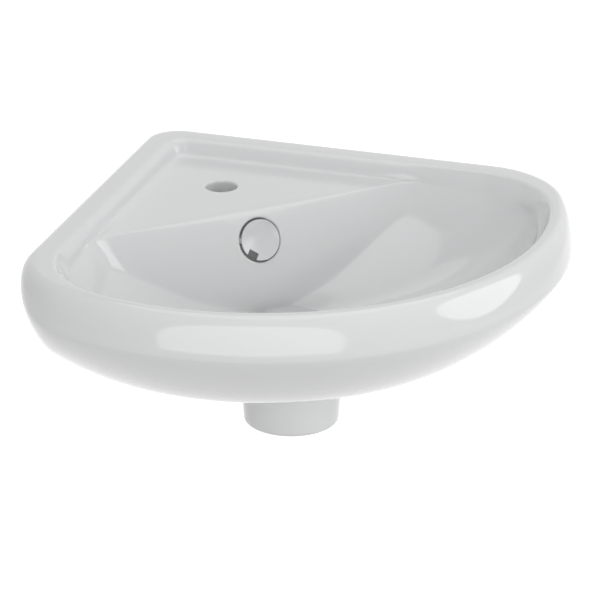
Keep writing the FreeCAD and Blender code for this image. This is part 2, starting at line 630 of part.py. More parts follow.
# --- Overflow cover ------------------------------------------------------------------------------
def overflow_cover():
    """Dished disc with a notch in its edge, on three legs that grip the hole behind it."""
    sphere_r = (COVER_R**2 + COVER_DISH**2) / (2.0 * COVER_DISH)
    centre = vec(0, 0, COVER_PROUD - COVER_DISH + sphere_r)
    back = COVER_PROUD - COVER_DISH - COVER_THICK
    disc = Part.makeCylinder(COVER_R, COVER_PROUD - back, vec(0, 0, back))
    disc = disc.common(Part.makeSphere(sphere_r + COVER_THICK, centre)).cut(Part.makeSphere(sphere_r, centre))
    notch_start = vec(COVER_R - NOTCH_DEPTH, -NOTCH_WIDTH / 2.0, back)
    notch = Part.makeBox(NOTCH_DEPTH + COVER_GAP, NOTCH_WIDTH, COVER_PROUD - back, notch_start)
    notch.rotate(vec(0, 0), vec(0, 0, 1), NOTCH_TURN_DEG)
    leg_start = vec(COVER_R - COVER_LEG_THICK, -COVER_LEG_WIDTH / 2.0, -COVER_LEG_LENGTH)
    leg = Part.makeBox(COVER_LEG_THICK + COVER_GAP, COVER_LEG_WIDTH, COVER_LEG_LENGTH, leg_start)
    shank = Part.makeCylinder(COVER_R, COVER_LEG_LENGTH, vec(0, 0, -COVER_LEG_LENGTH))
    foot = Part.makeCylinder(OVERFLOW_R - LOOSE, COVER_FOOT, vec(0, 0, -COVER_LEG_LENGTH))
    leg = leg.common(shank.fuse(foot))
    cover = disc.cut(notch)
    for step in range(COVER_LEGS):
        turned = leg.copy()
        turned.rotate(vec(0, 0), vec(0, 0, 1), NOTCH_TURN_DEG + 360.0 * (step + 0.5) / COVER_LEGS)
        cover = cover.fuse(turned)
    return onto_back_wall(cover)


# --- Wall fixings, one on each wall --------------------------------------------------------------
def both_walls(make):
    return Part.Compound([make(1), make(-1)])


def fixing_ring(radius, bore, outer, inner, side):
    return fixing_cylinder(radius, outer, inner, side).cut(fixing_cylinder(bore, outer, inner, side))


def fixing_studs():
    return both_walls(lambda side: fixing_cylinder(STUD_R, STUD_IN_WALL, -STUD_IN_BASIN, side))


def fixing_wall_plugs():
    """Sleeves in the wall that the studs screw into."""
    return both_walls(lambda side: fixing_ring(WALL_PLUG_R, STUD_R + FIT, WALL_PLUG_LENGTH, LOOSE, side))


def fixing_bushes():
    """Flanged bushes that keep the studs and nuts off the ceramic."""
    def bush(side):
        bore = STUD_R + LOOSE
        flange = fixing_ring(BUSH_FLANGE_R, bore, -WALL_PLATE, BUSH_FACE, side)
        sleeve = fixing_ring(FIXING_HOLE_R - LOOSE, bore, BUSH_LENGTH - WALL_PLATE, -WALL_PLATE, side)
        return flange.fuse(sleeve)
    return both_walls(bush)


def fixing_washers():
    return both_walls(lambda side: fixing_ring(WASHER_R, STUD_R + LOOSE, BUSH_FACE, WASHER_FACE, side))


def fixing_nuts():
    """Hexagon nuts on the studs."""
    def nut(side):
        radius = NUT_FLATS / math.sqrt(3.0)
        turns = [math.radians(60.0 * step) for step in range(7)]
        face = WASHER_FACE - NUT_THICK
        points = [vec(FIXING_ALONG + radius * math.cos(turn), face, radius * math.sin(turn) - FIXING_DROP)
                  for turn in turns]
        bar = Part.Face(Part.makePolygon(points)).extrude(vec(0, NUT_THICK, 0))
        return against_wall(bar, side).cut(fixing_cylinder(STUD_R + FIT, WASHER_FACE, face, side))
    return both_walls(nut)


NODES = {
    "basin_body": basin_body,
    "overflow_cover": overflow_cover,
    "waste_body": waste_body,
    "waste_top_seal": waste_top_seal,
    "waste_lower_seal": waste_lower_seal,
    "waste_slip_washer": waste_slip_washer,
    "waste_backnut": waste_backnut,
    "cartridge_housing": cartridge_housing,
    "cartridge_gland": cartridge_gland,
    "plug_cap": plug_cap,
    "plug_seal": plug_seal,
    "plug_spindle": plug_spindle,
    "plug_latch": plug_latch,
    "plug_spring": plug_spring,
    "fixing_studs": fixing_studs,
    "fixing_wall_plugs": fixing_wall_plugs,
    "fixing_bushes": fixing_bushes,
    "fixing_washers": fixing_washers,
    "fixing_nuts": fixing_nuts,
}

os.makedirs("parts", exist_ok=True)
for name, make in NODES.items():
    shape = make()
    print(name, len(shape.Solids), round(shape.Volume / 1000.0, 2), "cm3", shape.isValid())
    shape.exportStep("parts/" + name + ".step")
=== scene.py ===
import math

import bpy
import numpy as np
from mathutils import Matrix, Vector


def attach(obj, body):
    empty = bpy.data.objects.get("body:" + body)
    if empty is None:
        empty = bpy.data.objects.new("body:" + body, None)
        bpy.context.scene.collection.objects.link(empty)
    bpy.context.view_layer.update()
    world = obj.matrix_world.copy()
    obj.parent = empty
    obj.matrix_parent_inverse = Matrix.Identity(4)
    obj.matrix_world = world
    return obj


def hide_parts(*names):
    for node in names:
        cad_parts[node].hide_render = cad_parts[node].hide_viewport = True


bl_info = {
    "name": "Corner Basin",
    "version": (1, 0, 0),
    "blender": (4, 5, 0),
    "location": "View3D > Sidebar > Basin",
    "description": "Dresses a corner basin: glazed body, overflow cover, waste, fixings and studio",
    "category": "Object",
}

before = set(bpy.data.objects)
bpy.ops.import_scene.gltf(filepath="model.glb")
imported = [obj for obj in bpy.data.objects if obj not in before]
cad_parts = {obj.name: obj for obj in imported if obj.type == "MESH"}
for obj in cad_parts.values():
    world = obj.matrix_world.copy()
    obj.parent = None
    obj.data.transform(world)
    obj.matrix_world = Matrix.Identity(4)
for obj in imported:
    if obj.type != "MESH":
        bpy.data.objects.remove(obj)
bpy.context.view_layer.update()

# Lengths are in metres. The origin is the corner of the room at rim height, the front faces -Y and
# the two walls run at 45 degrees to either side. Plan points are complex numbers, x + iy.
DIAGONAL = math.sqrt(0.5)
COLUMNS = (8, 44, 40, 44)  # mesh columns of each half: room corner, wall side, tip, front
PLATE_COLUMNS = (18, 12)  # of the wall side: straight part of the plate, its rounded end
COLUMN_GAP = 0.0002  # between the two columns where the plate stops
LEDGE_ROWS, WALL_ROWS, BOWL_ROWS = 26, 24, 40  # from the foot of the rim to the bowl's floor
ROLL_ROWS, CROWN_ROWS = 9, 6  # of each roll of the rim, and of the level strip between them
APRON_ROWS, PLATE_ROWS, UNDER_ROWS = 20, 7, 40  # down outside, up inside, in to the boss
PROFILE_STEPS = 500  # points along each column, from which its rows are spaced
HOLE_POINTS = 96  # round each hole
DEPTH_HALVINGS = 22  # in the search for the bowl's level outline through a point
EDGE_HALVINGS = 40  # in the search for the ledge's edge along a column
WALL_LEAST, BOWL_LEAST = 0.012, 0.006  # shortest stretch of a column above and below the crease
FAN_COLUMNS = 24.0  # beside the ledge, over which its rows spread onto half of the wall
BOWL_PASSES, UNDER_PASSES = 5, 4  # of rounding, inside the bowl and underneath
FOOT_ROWS = (44, 6)  # eased below and above the foot of the rim, past the ledge
FOOT_PASSES = 90
FOOT_BLEND = 0.03  # distance in front of the ledge's edge over which that easing sets in
CHANNEL_BLEND = 0.004  # width of the step at each side of the overflow channel
BOSS_ROUND = 0.004  # rounding of the boss's open end
TAP_LIP = 0.0018  # rounding of the tap hole's two edges
OVERFLOW_LIP = 0.0016  # rounding of the overflow's edge
OVERFLOW_RECESS = 0.015  # depth of its wall, behind which it is closed
SHARP_ANGLE = math.radians(50.0)  # creases above it are shaded sharp

COAT_ROUGHNESS = 0.08
FLOOR_HALF = 3.0  # half the floor's side
FLOOR_GLOW = 0.95  # added to the floor's shade where the camera or a reflection sees it
SKY_STRENGTH = 0.36  # soft light from all round
AIM = (0.0, -0.23, -0.05)  # middle of the basin, which the camera's aim is counted from
SENSOR_WIDTH = 36.0  # in mm
CLIP_END = 50.0
LAMPS = (  # name, place, aim, width and power of each round lamp
    ("lamp_above", (0.2, -0.2, 1.8), (0.0, -0.25, 0.0), 2.4, 13.0),
    ("lamp_right", (2.2, -1.7, 0.35), (0.0, -0.3, -0.05), 2.0, 22.0),
    ("lamp_front", (-1.4, -2.5, -0.3), (0.0, -0.3, -0.08), 3.4, 48.0),
)
FINISHES = {
    # tint spread, roughness, its spread, mottling per metre, ripple per metre and ripple height
    "white_glaze": (0.012, 0.09, 0.03, 9.0, 38.0, 0.00006),
    "cover_plastic": (0.02, 0.2, 0.05, 60.0, 300.0, 0.00002),
    "chrome_plate": (0.03, 0.07, 0.05, 40.0, 200.0, 0.00001),
    "turned_brass": (0.1, 0.28, 0.1, 60.0, 500.0, 0.00003),
    "seal_rubber": (0.2, 0.6, 0.1, 80.0, 900.0, 0.00004),
    "natural_nylon": (0.04, 0.35, 0.08, 60.0, 400.0, 0.00003),
    "spring_steel": (0.08, 0.3, 0.1, 90.0, 600.0, 0.00002),
    "zinc_plate": (0.12, 0.35, 0.12, 70.0, 500.0, 0.00003),
    "bush_nylon": (0.04, 0.35, 0.08, 60.0, 400.0, 0.00003),
    "plug_nylon": (0.06, 0.45, 0.08, 60.0, 400.0, 0.00004),
}


def length(name, description, default):
    return bpy.props.FloatProperty(
        name=name, description=description, default=default, unit="LENGTH", precision=4
    )


class BasinSizes(bpy.types.PropertyGroup):
    side: length("Side", "Room corner to the far side of the tip, along each wall", 0.4)
    front_reach: length("Front reach", "Room corner to the front edge", 0.477)
    tip_r: length("Tip radius", "Plan radius at each end of the front", 0.089)
    corner_r: length("Corner radius", "Plan radius at the room corner", 0.025)
    wall_roll: length("Wall roll", "Width of the roll over the wall side of the rim", 0.013)
    wall_roll_drop: length("Wall roll drop", "Height of that roll", 0.015)
    front_roll: length("Front roll", "Width of the roll over the front of the rim", 0.012)
    front_roll_drop: length("Front roll drop", "Height of that roll", 0.036)
    apron_depth: length("Apron depth", "Rim to the bottom of the front apron", 0.104)
    apron_tuck: length("Apron tuck", "How far the apron curls under", 0.076)
    rim_wall: length("Rim at the wall", "Wall face to the foot of the rim inside", 0.033)
    rim_front: length("Rim at the front", "Front edge to the foot of the rim inside", 0.025)
    mouth_roll: length("Inner roll", "Width of the rim's inner roll", 0.0095)
    mouth_corner_r: length("Mouth corner", "Plan radius of the mouth at the room corner", 0.01)
    mouth_tip_r: length("Mouth tip", "Plan radius of the mouth at each end of the front", 0.082)
    ledge_drop: length("Ledge drop", "Rim to the tap ledge", 0.014)
    ledge_edge_y: length("Ledge edge", "Front edge of the ledge on the centre line", -0.1985)
    ledge_edge_r: length("Ledge edge radius", "Plan radius of that edge", 2.6)
    bowl_depth: length("Bowl depth", "Rim to the bowl's floor", 0.1)
    bowl_floor_r: length("Floor radius", "Radius that the bowl closes in on", 0.033)
    bowl_front_y: length("Bowl front", "The bowl's front at rim height", -0.4525)
    bowl_rear_y: length("Bowl rear", "The bowl's rear at rim height, behind its back wall", -0.1015)
    bowl_tip_x: length("Bowl tip across", "Centre of the bowl's end arcs, across", 0.17848)
    bowl_tip_y: length("Bowl tip along", "Centre of the bowl's end arcs, from the corner", -0.29284)
    bowl_tip_r: length("Bowl tip radius", "Radius of the bowl's end arcs", 0.038)
    skin: length("Wall thickness", "Bowl and apron wall", 0.009)
    plate: length("Plate thickness", "Plates against the room's walls", 0.012)
    plate_bottom: length("Plate bottom", "Rim to the bottom of the plates", 0.118)
    plate_end: length("Plate end", "Corner to the end of each plate", 0.22)
    plate_round: length("Plate rounding", "Rounding of the plates' lower corners", 0.012)
    ledge_under: length("Ledge underside", "Rim to the underside of the ledge", 0.028)
    outlet_y: length("Outlet", "Axis of the outlet, from the corner", -0.266)
    boss_top_r: length("Boss radius above", "Outlet boss where it leaves the bowl", 0.045)
    boss_end_r: length("Boss radius below", "Outlet boss at its open end", 0.0405)
    boss_end: length("Boss end", "Rim to the open end of the boss", 0.18)
    boss_cup_r: length("Boss hollow", "Radius of the hollow that hides the nut", 0.034)
    boss_cup_top: length("Boss hollow top", "Rim to the face under the outlet", 0.138)
    outlet_r: length("Outlet radius", "Hole for the waste", 0.023)
    seat_drop: length("Seat", "Rim to the seat of the waste's flange", 0.104)
    tap_hole_y: length("Tap hole", "Axis of the tap hole, from the corner", -0.133)
    tap_hole_r: length("Tap hole radius", "Radius of the tap hole", 0.0135)
    overflow_drop: length("Overflow drop", "Rim to the centre of the overflow", 0.0375)
    overflow_r: length("Overflow radius", "Radius of the overflow hole", 0.019)
    channel_half: length("Channel half width", "Half the overflow channel's width outside", 0.029)
    channel_back: length("Channel back", "Bowl wall to the back of the overflow channel", 0.031)
    channel_end: length("Channel end", "Rim to the bottom of the overflow channel", 0.139)
    edge_r: length("Edge radius", "Rounding of the casting's lower edges", 0.003)
    back_slope: bpy.props.FloatProperty(
        name="Back slope", description="The bowl's back wall, from the horizontal",
        default=math.radians(69.0), unit="ROTATION")
    steep_lean: bpy.props.FloatProperty(
        name="Steep lean", description="How far the steep walls lean in per length down",
        default=0.09)
    flank_lean: bpy.props.FloatProperty(
        name="Flank lean", description="The same for the flanks under the wall sides",
        default=0.65)
    apron_power: bpy.props.FloatProperty(
        name="Apron power", description="2 is an ellipse, less is flatter", default=1.6)
    floor_share: bpy.props.FloatProperty(
        name="Floor share", description="Where the bowl's curve is cut off by its level floor",
        default=0.985)
    rear_power: bpy.props.FloatProperty(
        name="Rear power", description="1 makes the bowl's rear a cone, more makes it hollow",
        default=1.34)


def colour(name, description, default):
    return bpy.props.FloatVectorProperty(
        name=name, description=description, default=default, subtype="COLOR", size=3,
        min=0.0, max=1.0
    )


class BasinColours(bpy.types.PropertyGroup):
    glaze: colour("Glaze", "White glaze", (0.80, 0.805, 0.81))
    cover: colour("Cover", "Moulded overflow cover", (0.78, 0.785, 0.79))
    chrome: colour("Chrome", "Plated waste", (0.83, 0.84, 0.85))
    brass: colour("Brass", "Turned brass", (0.72, 0.55, 0.28))
    rubber: colour("Rubber", "Seals", (0.035, 0.035, 0.037))
    nylon: colour("Nylon", "Natural nylon", (0.78, 0.77, 0.71))
    plug_grey: colour("Wall plug", "Grey nylon", (0.32, 0.33, 0.34))
    zinc: colour("Zinc", "Plated steel", (0.62, 0.62, 0.60))
    floor: colour("Floor", "Studio floor", (0.3, 0.3, 0.3))


class BasinStage(bpy.types.PropertyGroup):
    azimuth: bpy.props.FloatProperty(
        name="Azimuth", description="Camera, turned from the front", default=math.radians(-26.902),
        unit="ROTATION")
    elevation: bpy.props.FloatProperty(
        name="Elevation", description="Camera, above the level", default=math.radians(22.413),
        unit="ROTATION")
    distance: length("Distance", "Camera to the target", 3.9321)
    lens: bpy.props.FloatProperty(name="Lens", description="Focal length in mm", default=279.27)
    across: length("Aim across", "Target to the right of the basin's middle", 0.02368)
    down: length("Aim down", "Target below the basin's middle", 0.03176)
    floor_z: length("Floor height", "Floor below the rim", -0.85)


# --- Plan outlines -------------------------------------------------------------------------------
def tangent_radius(tip_x, tip_y, tip_r, end_y):
    """Radius of the arc that is centred on x = 0, passes through (0, end_y) and touches the tip
    circle inside it: (x^2 + gap^2 - r^2) / 2(gap - r), with the tip's x and r."""
    gap = abs(tip_y - end_y)
    return (tip_x**2 + gap**2 - tip_r**2) / (2.0 * (gap - tip_r))


def front_radius(s):
    """Radius of the rim's front arc, which holds both tip circles inside."""
    along = s.side - s.tip_r
    tip_x, tip_y = (along - s.tip_r) * DIAGONAL, -(along + s.tip_r) * DIAGONAL
    return tangent_radius(tip_x, tip_y, s.tip_r, -s.front_reach)


def wall_columns(s, start, end):
    """Distance of the wall side's columns from the corner: close together over the plate's rounded
    end, and two next to each other where the plate stops."""
    straight, rounded = PLATE_COLUMNS
    round_start = s.plate_end - s.plate_round
    plate = start + (round_start - start) * (np.arange(straight) / straight)
    turn = np.arange(rounded) / (rounded - 1) * math.pi / 2
    end_round = round_start + s.plate_round * np.sin(turn)
    count = COLUMNS[1] - straight - rounded
    beyond = s.plate_end + COLUMN_GAP
    rest = beyond + (end - beyond) * (np.arange(count) / count)
    return np.hstack([plate, np.broadcast_to(end_round, (len(start), rounded)), rest])


def outline(s, wall_in, front_in, tip_r, corner_r):
    """Closed plan outlines, one row for each set of insets: corner arc, wall line, tip arc and
    front arc, each tangent to the next, then mirrored. The first column is the middle of the
    front."""
    values = np.broadcast_arrays(wall_in, front_in, tip_r, corner_r)
    wall_in, front_in, tip_r, corner_r = [np.reshape(value, (-1, 1)) for value in values]
    big_r = front_radius(s)
    front_c = 1j * (big_r - s.front_reach)
    inset = wall_in + tip_r
    level = -front_c.imag * DIAGONAL
    along = level + np.sqrt((big_r - front_in - tip_r) ** 2 - (level - inset) ** 2)
    tip_c = ((along - inset) - 1j * (along + inset)) * DIAGONAL
    corner_c = -1j * (wall_in + corner_r) / DIAGONAL
    share = [np.arange(count) / count for count in COLUMNS]
    corner = corner_c + corner_r * np.exp(1j * math.pi * (0.5 - 0.25 * share[0]))
    distance = wall_columns(s, corner_r + wall_in, along)
    wall = distance * (1 - 1j) * DIAGONAL - wall_in * (1 + 1j) * DIAGONAL
    turn = np.angle(tip_c - front_c)
    tip = tip_c + tip_r * np.exp(1j * (math.pi / 4 + (turn - math.pi / 4) * share[2]))
    front_turn = turn - (math.pi / 2 + turn) * np.append(share[3], 1.0)
    front = front_c + (big_r - front_in) * np.exp(1j * front_turn)
    half = np.hstack([corner, wall, tip, front])
    return np.roll(np.hstack([half, -np.conj(half[:, -2:0:-1])]), -sum(COLUMNS), axis=1)


def front_weight():
    """0 on the wall sides and 1 on the front, with a smooth step over the tips."""
    step = np.arange(COLUMNS[2]) / COLUMNS[2]
    step = step * step * (3.0 - 2.0 * step)
    half = np.concatenate([np.zeros(COLUMNS[0] + COLUMNS[1]), step, np.ones(COLUMNS[3] + 1)])
    return np.roll(np.concatenate([half, half[-2:0:-1]]), -sum(COLUMNS))


# --- Heights of the bowl and the ledge -----------------------------------------------------------
def bowl_reach(s, ray, share, grow):
    """Distance from the outlet's axis to the bowl's level outline at a share of its depth, along
    each direction: the front arc, the rear arc or the tip arc, whichever holds the point. The
    outline closes in on the outlet by sqrt(1 - share^2) at the front and tips and by
    (1 - share)^power at the rear."""
    round_off, rear_off = np.sqrt(1.0 - share**2), (1.0 - share) ** s.rear_power
    radius = s.bowl_floor_r + grow
    front_y = -radius + (s.bowl_front_y - s.outlet_y + s.bowl_floor_r) * round_off
    rear_y = radius + (s.bowl_rear_y - s.outlet_y - s.bowl_floor_r) * rear_off
    tip_r = radius + (s.bowl_tip_r - s.bowl_floor_r) * round_off
    tip_c = (s.bowl_tip_x + 1j * (s.bowl_tip_y - s.outlet_y)) * round_off
    front_r = tangent_radius(tip_c.real, tip_c.imag, tip_r, front_y)
    rear_r = tangent_radius(tip_c.real, tip_c.imag, tip_r, rear_y)
    front_c, rear_c = 1j * (front_y + front_r), 1j * (rear_y - rear_r)

    def hit(circle_c, arc_r):
        across = (circle_c * np.conj(ray)).real
        return across + np.sqrt(np.maximum(across**2 - np.abs(circle_c) ** 2 + arc_r**2, 0.0))

    front, rear = hit(front_c, front_r), hit(rear_c, rear_r)
    front_end = tip_c + tip_r * (tip_c - front_c) / np.abs(tip_c - front_c)
    rear_end = tip_c + tip_r * (tip_c - rear_c) / np.abs(tip_c - rear_c)
    on_front = ((front * ray).real <= front_end.real) & ((front * ray).imag <= front_end.imag)
    on_rear = ((rear * ray).real <= rear_end.real) & ((rear * ray).imag >= rear_end.imag)
    return np.where(on_front, front, np.where(on_rear, rear, hit(tip_c, tip_r)))


def bowl_height(s, plan, grow=0.0):
    """Height of the bowl at plan points, moved out by a wall: that of the level outline which
    passes through the point, found by halving the share of the depth."""
    offset = np.abs(plan.real) + 1j * (plan.imag - s.outlet_y)
    distance = np.maximum(np.abs(offset), 1e-6)
    low, high = np.zeros(plan.shape), np.full(plan.shape, s.floor_share)
    for _ in range(DEPTH_HALVINGS):
        share = 0.5 * (low + high)
        too_far = bowl_reach(s, offset / distance, share, grow) > distance
        low, high = np.where(too_far, share, low), np.where(too_far, high, share)
    return -(s.bowl_depth + grow) * share / s.floor_share


def flank_height(s, plan, behind=0.0):
    """The flanks, planes that lean in under the two wall sides of the rim, moved back by a wall.
    They fall by the distance from the foot of the rim over their lean."""
    inward = -(plan.imag + np.abs(plan.real)) * DIAGONAL - s.rim_wall
    return -s.ledge_drop - (inward + behind * math.hypot(1.0, s.flank_lean)) / s.flank_lean


def ledge_edge(s, across):
    """The ledge's front edge, an arc that bulges forwards."""
    return s.ledge_edge_y + s.ledge_edge_r - np.sqrt(s.ledge_edge_r**2 - across**2)


def back_height(s, plan, behind=0.0):
    """The back wall, moved back by a wall. It falls from the ledge's edge at its slope."""
    edge = ledge_edge(s, plan.real) + behind / math.sin(s.back_slope)
    return -s.ledge_drop - (edge - plan.imag) * math.tan(s.back_slope)


def inner_rows(s, foot):
    """Rows from the foot of the rim to the bowl's floor. Each column is a straight line in plan to
    the outlet. Its height is the ledge, and in front of it the highest of back wall, flanks, steep
    wall and bowl. Rows are spaced evenly along the profile between the creases."""
    centre = 1j * s.outlet_y
    reach = np.abs(foot - centre)
    ray = (foot - centre) / reach
    on_ledge = foot.imag > ledge_edge(s, foot.real)
    low, high = np.full_like(reach, s.bowl_floor_r), reach.copy()
    for _ in range(EDGE_HALVINGS):
        middle = 0.5 * (low + high)
        point = centre + middle * ray
        behind = point.imag > ledge_edge(s, point.real)
        low, high = np.where(behind, low, middle), np.where(behind, middle, high)
    start = np.where(on_ledge, high, reach)
    tangent = np.roll(foot, -1) - np.roll(foot, 1)
    facing = np.abs((ray * np.conj(1j * tangent / np.abs(tangent))).real)
    step = np.linspace(0.0, 1.0, PROFILE_STEPS)[:, None] ** 2
    rho = start - (start - s.bowl_floor_r) * step
    plan = centre + rho * ray
    steep = -s.ledge_drop - (reach - rho) * facing / s.steep_lean
    walls = np.maximum(np.maximum(back_height(s, plan), flank_height(s, plan)), steep)
    bowl = bowl_height(s, plan)
    height = np.minimum(np.maximum(walls, bowl), -s.ledge_drop)
    pieces = np.hypot(np.diff(rho, axis=0), np.diff(height, axis=0))
    run = np.vstack([np.zeros_like(reach), np.cumsum(pieces, axis=0)])
    in_bowl = bowl >= walls
    crease = np.where(in_bowl.any(axis=0), np.argmax(in_bowl, axis=0), PROFILE_STEPS - 1)
    index = np.arange(reach.size)
    wall_run = np.clip(run[crease, index], WALL_LEAST, run[-1] - BOWL_LEAST)
    wall_run = (np.roll(wall_run, 1) + 2 * wall_run + np.roll(wall_run, -1)) / 4.0
    edge_columns = np.flatnonzero(on_ledge)
    beyond = np.maximum(edge_columns.min() - index, index - edge_columns.max())
    early = np.clip(beyond / FAN_COLUMNS, 0.0, 1.0)
    early = np.where(on_ledge, 0.0, 0.5 * early * early * (3.0 - 2.0 * early))
    ledge_step = (np.arange(LEDGE_ROWS) / LEDGE_ROWS)[:, None]
    wall_step = (np.arange(WALL_ROWS) / WALL_ROWS)[:, None]
    bowl_step = (np.arange(BOWL_ROWS + 1) / BOWL_ROWS)[:, None]
    target = np.vstack([
        wall_run * early * ledge_step,
        wall_run * (early + (1.0 - early) * wall_step),
        wall_run + (run[-1] - wall_run) * bowl_step,
    ])
    before = np.clip((run[:, None, :] < target[None]).sum(axis=0) - 1, 0, PROFILE_STEPS - 2)
    low_run = np.take_along_axis(run, before, axis=0)
    high_run = np.take_along_axis(run, before + 1, axis=0)
    share = np.clip((target - low_run) / np.maximum(high_run - low_run, 1e-9), 0.0, 1.0)

    def at(values):
        low_value = np.take_along_axis(values, before, axis=0)
        return low_value + (np.take_along_axis(values, before + 1, axis=0) - low_value) * share

    rho_rows, height_rows = at(rho), at(height)
    ledge_rho = reach + (start - reach) * ledge_step
    rho_rows[:LEDGE_ROWS] = np.where(on_ledge, ledge_rho, rho_rows[:LEDGE_ROWS])
    height_rows[:LEDGE_ROWS] = np.where(on_ledge, -s.ledge_drop, height_rows[:LEDGE_ROWS])
    return centre + rho_rows * ray, height_rows


# --- Rim, apron, underside and boss --------------------------------------------------------------
def mouth_outline(s, rolled):
    """Plan outline of the rim inside, where its inner roll has gone outwards by these lengths."""
    return outline(s, s.rim_wall - rolled, s.rim_front - rolled, s.mouth_tip_r + rolled,
                   s.mouth_corner_r + rolled)


def rim_rows(s):
    """Inner roll, crown and outer roll of the rim. Each roll is a quarter ellipse."""
    weight = front_weight()
    turn = np.linspace(0.0, math.pi / 2, ROLL_ROWS + 1)[1:]
    rolled = s.mouth_roll * (1.0 - np.cos(turn))
    inner = mouth_outline(s, rolled)
    inner_z = np.repeat(-s.ledge_drop * (1.0 - np.sin(turn))[:, None], inner.shape[1], axis=1)
    fall = turn[::-1]
    wall_in = s.wall_roll * (1.0 - np.cos(np.append(fall, 0.0)))
    front_in = s.front_roll * (1.0 - np.cos(np.append(fall, 0.0)))
    outer = outline(s, wall_in, front_in, s.tip_r - (wall_in + front_in) / 2.0, s.corner_r)
    sunk = (1.0 - np.sin(np.append(fall, 0.0)))[:, None]
    outer_z = -(s.wall_roll_drop + (s.front_roll_drop - s.wall_roll_drop) * weight) * sunk
    across = (np.arange(1, CROWN_ROWS) / CROWN_ROWS)[:, None]
    crown = inner[-1] + (outer[0] - inner[-1]) * across
    return np.vstack([inner, crown, outer]), np.vstack([inner_z, np.zeros(crown.shape), outer_z])


def lower_edge(s):
    """Depth of the casting's lower edge in each column: the plates, their rounded corners, then the
    apron."""
    plan = outline(s, 0.0, 0.0, s.tip_r, s.corner_r)[0]
    along = (np.abs(plan.real) - plan.imag) * DIAGONAL
    start = s.plate_end - s.plate_round
    into = np.clip(along - start, 0.0, s.plate_round)
    plate = s.plate_bottom - s.plate_round + np.sqrt(np.maximum(s.plate_round**2 - into**2, 0.0))
    return np.where(along < s.plate_end + COLUMN_GAP / 2.0, plate, s.apron_depth)


def apron_rows(s):
    """Wall faces and apron down to the lower edge, over it, and up the inside of the plates. The
    apron falls by sin(turn)^power and tucks in by 1 - cos(turn)^power."""
    weight, depth = front_weight(), lower_edge(s)
    turn = (np.arange(1, APRON_ROWS + 1) / APRON_ROWS * math.pi / 2)[:, None]
    tuck = s.apron_tuck * (1.0 - np.cos(turn) ** s.apron_power)
    below_roll = s.apron_depth - s.front_roll_drop
    front_fall = s.front_roll_drop + below_roll * np.sin(turn) ** s.apron_power
    wall_fall = s.wall_roll_drop + (depth - s.wall_roll_drop) * turn / (math.pi / 2)
    plan = outline(s, 0.0, tuck[:, 0], s.tip_r - tuck[:, 0] / 2.0, s.corner_r)
    height = -(wall_fall + (front_fall - wall_fall) * weight)
    wall_in = np.array([0.0, 0.3, 1.0]) * s.edge_r
    edge_in = np.append(wall_in, s.plate - wall_in[::-1])
    lift = np.append(wall_in[::-1], wall_in)[:, None]
    front_edge_in = s.apron_tuck + edge_in * s.skin / s.plate
    edge = outline(s, edge_in, front_edge_in, s.tip_r - (edge_in + front_edge_in) / 2.0,
                   s.corner_r - edge_in)
    height[-1] += lift[0]
    return np.vstack([plan, edge[1:]]), np.vstack([height, -depth + lift[1:]])


def under_height(s, plan):
    """Underside of the casting: the ledge, the bowl and its walls moved out by their thickness,
    and the overflow channel's block behind the back wall."""
    wall_distance = -(plan.imag + np.abs(plan.real)) * DIAGONAL
    steep = -s.ledge_drop - (wall_distance - s.rim_wall + s.skin) / s.steep_lean
    walls = np.maximum(back_height(s, plan, s.skin), flank_height(s, plan, s.skin))
    shell = np.maximum(np.maximum(walls, bowl_height(s, plan, s.skin)), steep)
    shell = np.minimum(shell, -s.ledge_under)
    block = np.maximum(back_height(s, plan, s.channel_back), -s.channel_end)
    inside = np.clip((s.channel_half - np.abs(plan.real)) / CHANNEL_BLEND + 0.5, 0.0, 1.0)
    inside = np.where(plan.imag > s.outlet_y, inside, 0.0)
    return shell + (np.minimum(shell, block) - shell) * inside


def under_rows(s, rim, ray):
    """Up the inside of the plates and apron, then in straight lines to the outlet boss."""
    top = under_height(s, rim)
    depth = lower_edge(s)
    rise = (np.arange(1, PLATE_ROWS + 1) / PLATE_ROWS)[:, None]
    plate_z = -depth + s.edge_r + (top + depth - s.edge_r) * rise
    step = (np.arange(1, UNDER_ROWS + 1) / UNDER_ROWS)[:, None]
    boss = 1j * s.outlet_y + s.boss_top_r * ray
    plan = rim + (boss - rim) * step
    plate_plan = np.repeat(rim[None], PLATE_ROWS, axis=0)
    return np.vstack([plate_plan, plan]), np.vstack([plate_z, under_height(s, plan)])


